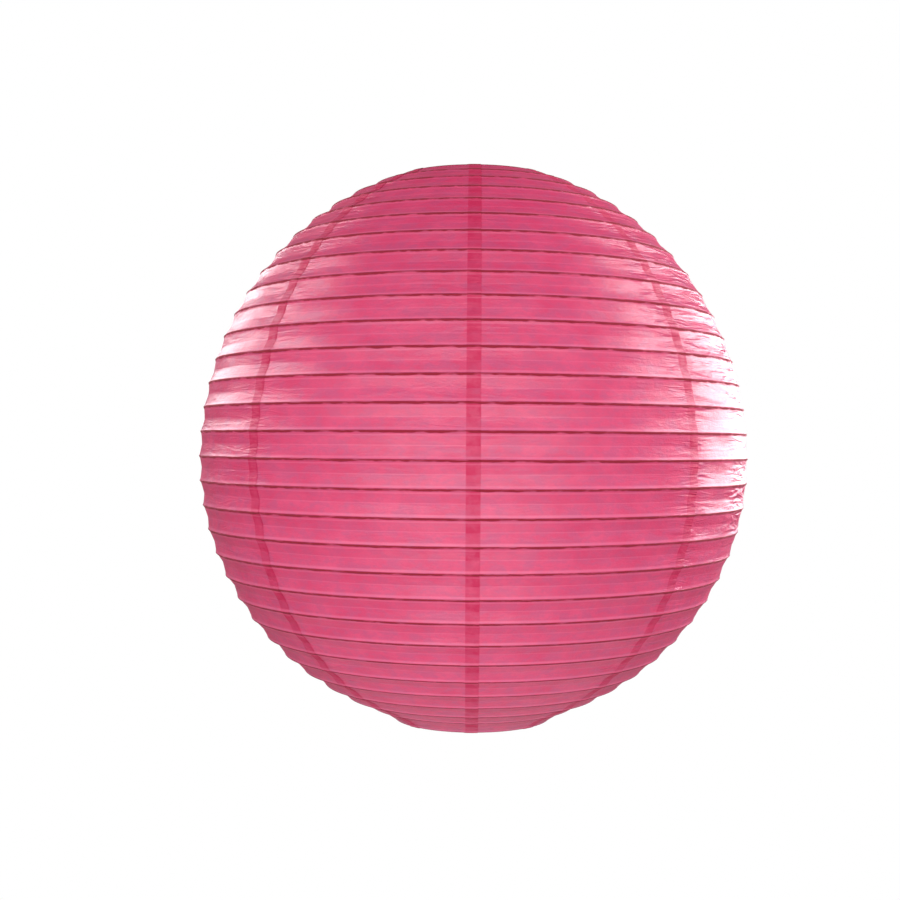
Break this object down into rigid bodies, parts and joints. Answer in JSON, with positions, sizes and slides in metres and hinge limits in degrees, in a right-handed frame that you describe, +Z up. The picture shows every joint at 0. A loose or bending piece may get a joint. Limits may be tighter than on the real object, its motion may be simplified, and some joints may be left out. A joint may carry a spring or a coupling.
{
  "type": "paper lantern",
  "caption": "Round pleated paper lantern: lapped paper gores over wire hoops, held open by a wire expander with a hanging eye; folds flat.",
  "frame": {"origin": "underside of the crown of the hanging eye, on the lantern's vertical axis, where a hook or cord bears", "axes": "+Z up along the lantern's axis, +X along the plane of the expander's two legs; one paper seam faces -Y"},
  "size_m": [0.3514, 0.3514, 0.3575],
  "materials": {
    "pink_paper": "thin translucent tissue paper, soft satin sheen, finely crinkled, hot pink",
    "hoop_wire": "thin drawn steel wire, dull grey",
    "galvanised_steel": "bent round steel wire, bright zinc plated"
  },
  "bodies": {
    "hanger": {"expander": "galvanised_steel", "top_ring": "hoop_wire", "gore_1": "pink_paper", "gore_2": "pink_paper", "gore_3": "pink_paper", "gore_4": "pink_paper", "gore_5": "pink_paper", "gore_6": "pink_paper", "gore_7": "pink_paper", "gore_8": "pink_paper"},
    "bottom_ring": {"bottom_ring": "hoop_wire"},
    "rib_01": {"rib_01": "hoop_wire"},
    "rib_02": {"rib_02": "hoop_wire"},
    "rib_03": {"rib_03": "hoop_wire"},
    "rib_04": {"rib_04": "hoop_wire"},
    "rib_05": {"rib_05": "hoop_wire"},
    "rib_06": {"rib_06": "hoop_wire"},
    "rib_07": {"rib_07": "hoop_wire"},
    "rib_08": {"rib_08": "hoop_wire"},
    "rib_09": {"rib_09": "hoop_wire"},
    "rib_10": {"rib_10": "hoop_wire"},
    "rib_11": {"rib_11": "hoop_wire"},
    "rib_12": {"rib_12": "hoop_wire"},
    "rib_13": {"rib_13": "hoop_wire"},
    "rib_14": {"rib_14": "hoop_wire"},
    "rib_15": {"rib_15": "hoop_wire"},
    "rib_16": {"rib_16": "hoop_wire"},
    "rib_17": {"rib_17": "hoop_wire"},
    "rib_18": {"rib_18": "hoop_wire"},
    "rib_19": {"rib_19": "hoop_wire"},
    "rib_20": {"rib_20": "hoop_wire"},
    "rib_21": {"rib_21": "hoop_wire"},
    "rib_22": {"rib_22": "hoop_wire"},
    "rib_23": {"rib_23": "hoop_wire"},
    "rib_24": {"rib_24": "hoop_wire"},
    "rib_25": {"rib_25": "hoop_wire"},
    "rib_26": {"rib_26": "hoop_wire"},
    "rib_27": {"rib_27": "hoop_wire"},
    "rib_28": {"rib_28": "hoop_wire"}
  },
  "joints": [
    {"name": "fold", "type": "slide", "parent": "hanger", "child": "bottom_ring", "axis": [0, 0, 1], "range_m": [0, 0.31], "deforming": ["gore_1", "gore_2", "gore_3", "gore_4", "gore_5", "gore_6", "gore_7", "gore_8"]},
    {"name": "fold_rib_01", "type": "slide", "parent": "hanger", "child": "rib_01", "axis": [0, 0, 1], "range_m": [0, 0.00488]},
    {"name": "fold_rib_02", "type": "slide", "parent": "hanger", "child": "rib_02", "axis": [0, 0, 1], "range_m": [0, 0.01119]},
    {"name": "fold_rib_03", "type": "slide", "parent": "hanger", "child": "rib_03", "axis": [0, 0, 1], "range_m": [0, 0.01861]},
    {"name": "fold_rib_04", "type": "slide", "parent": "hanger", "child": "rib_04", "axis": [0, 0, 1], "range_m": [0, 0.0271]},
    {"name": "fold_rib_05", "type": "slide", "parent": "hanger", "child": "rib_05", "axis": [0, 0, 1], "range_m": [0, 0.03642]},
    {"name": "fold_rib_06", "type": "slide", "parent": "hanger", "child": "rib_06", "axis": [0, 0, 1], "range_m": [0, 0.0466]},
    {"name": "fold_rib_07", "type": "slide", "parent": "hanger", "child": "rib_07", "axis": [0, 0, 1], "range_m": [0, 0.05754]},
    {"name": "fold_rib_08", "type": "slide", "parent": "hanger", "child": "rib_08", "axis": [0, 0, 1], "range_m": [0, 0.06896]},
    {"name": "fold_rib_09", "type": "slide", "parent": "hanger", "child": "rib_09", "axis": [0, 0, 1], "range_m": [0, 0.08103]},
    {"name": "fold_rib_10", "type": "slide", "parent": "hanger", "child": "rib_10", "axis": [0, 0, 1], "range_m": [0, 0.09345]},
    {"name": "fold_rib_11", "type": "slide", "parent": "hanger", "child": "rib_11", "axis": [0, 0, 1], "range_m": [0, 0.10634]},
    {"name": "fold_rib_12", "type": "slide", "parent": "hanger", "child": "rib_12", "axis": [0, 0, 1], "range_m": [0, 0.1195]},
    {"name": "fold_rib_13", "type": "slide", "parent": "hanger", "child": "rib_13", "axis": [0, 0, 1], "range_m": [0, 0.13293]},
    {"name": "fold_rib_14", "type": "slide", "parent": "hanger", "child": "rib_14", "axis": [0, 0, 1], "range_m": [0, 0.14644]},
    {"name": "fold_rib_15", "type": "slide", "parent": "hanger", "child": "rib_15", "axis": [0, 0, 1], "range_m": [0, 0.16006]},
    {"name": "fold_rib_16", "type": "slide", "parent": "hanger", "child": "rib_16", "axis": [0, 0, 1], "range_m": [0, 0.17372]},
    {"name": "fold_rib_17", "type": "slide", "parent": "hanger", "child": "rib_17", "axis": [0, 0, 1], "range_m": [0, 0.18734]},
    {"name": "fold_rib_18", "type": "slide", "parent": "hanger", "child": "rib_18", "axis": [0, 0, 1], "range_m": [0, 0.20074]},
    {"name": "fold_rib_19", "type": "slide", "parent": "hanger", "child": "rib_19", "axis": [0, 0, 1], "range_m": [0, 0.21382]},
    {"name": "fold_rib_20", "type": "slide", "parent": "hanger", "child": "rib_20", "axis": [0, 0, 1], "range_m": [0, 0.22657]},
    {"name": "fold_rib_21", "type": "slide", "parent": "hanger", "child": "rib_21", "axis": [0, 0, 1], "range_m": [0, 0.23878]},
    {"name": "fold_rib_22", "type": "slide", "parent": "hanger", "child": "rib_22", "axis": [0, 0, 1], "range_m": [0, 0.25042]},
    {"name": "fold_rib_23", "type": "slide", "parent": "hanger", "child": "rib_23", "axis": [0, 0, 1], "range_m": [0, 0.26141]},
    {"name": "fold_rib_24", "type": "slide", "parent": "hanger", "child": "rib_24", "axis": [0, 0, 1], "range_m": [0, 0.27154]},
    {"name": "fold_rib_25", "type": "slide", "parent": "hanger", "child": "rib_25", "axis": [0, 0, 1], "range_m": [0, 0.28079]},
    {"name": "fold_rib_26", "type": "slide", "parent": "hanger", "child": "rib_26", "axis": [0, 0, 1], "range_m": [0, 0.28913]},
    {"name": "fold_rib_27", "type": "slide", "parent": "hanger", "child": "rib_27", "axis": [0, 0, 1], "range_m": [0, 0.29633]},
    {"name": "fold_rib_28", "type": "slide", "parent": "hanger", "child": "rib_28", "axis": [0, 0, 1], "range_m": [0, 0.30242]}
  ],
  "couplings": [
    {"joint": "fold_rib_01", "follows": "fold", "ratio": 0.01571},
    {"joint": "fold_rib_02", "follows": "fold", "ratio": 0.03606},
    {"joint": "fold_rib_03", "follows": "fold", "ratio": 0.06},
    {"joint": "fold_rib_04", "follows": "fold", "ratio": 0.08738},
    {"joint": "fold_rib_05", "follows": "fold", "ratio": 0.11745},
    {"joint": "fold_rib_06", "follows": "fold", "ratio": 0.15028},
    {"joint": "fold_rib_07", "follows": "fold", "ratio": 0.18557},
    {"joint": "fold_rib_08", "follows": "fold", "ratio": 0.22242},
    {"joint": "fold_rib_09", "follows": "fold", "ratio": 0.26134},
    {"joint": "fold_rib_10", "follows": "fold", "ratio": 0.30143},
    {"joint": "fold_rib_11", "follows": "fold", "ratio": 0.343},
    {"joint": "fold_rib_12", "follows": "fold", "ratio": 0.38544},
    {"joint": "fold_rib_13", "follows": "fold", "ratio": 0.42877},
    {"joint": "fold_rib_14", "follows": "fold", "ratio": 0.47237},
    {"joint": "fold_rib_15", "follows": "fold", "ratio": 0.51628},
    {"joint": "fold_rib_16", "follows": "fold", "ratio": 0.56037},
    {"joint": "fold_rib_17", "follows": "fold", "ratio": 0.60428},
    {"joint": "fold_rib_18", "follows": "fold", "ratio": 0.64751},
    {"joint": "fold_rib_19", "follows": "fold", "ratio": 0.68972},
    {"joint": "fold_rib_20", "follows": "fold", "ratio": 0.73083},
    {"joint": "fold_rib_21", "follows": "fold", "ratio": 0.77021},
    {"joint": "fold_rib_22", "follows": "fold", "ratio": 0.80779},
    {"joint": "fold_rib_23", "follows": "fold", "ratio": 0.84321},
    {"joint": "fold_rib_24", "follows": "fold", "ratio": 0.87589},
    {"joint": "fold_rib_25", "follows": "fold", "ratio": 0.90575},
    {"joint": "fold_rib_26", "follows": "fold", "ratio": 0.93263},
    {"joint": "fold_rib_27", "follows": "fold", "ratio": 0.95588},
    {"joint": "fold_rib_28", "follows": "fold", "ratio": 0.9755}
  ]
}
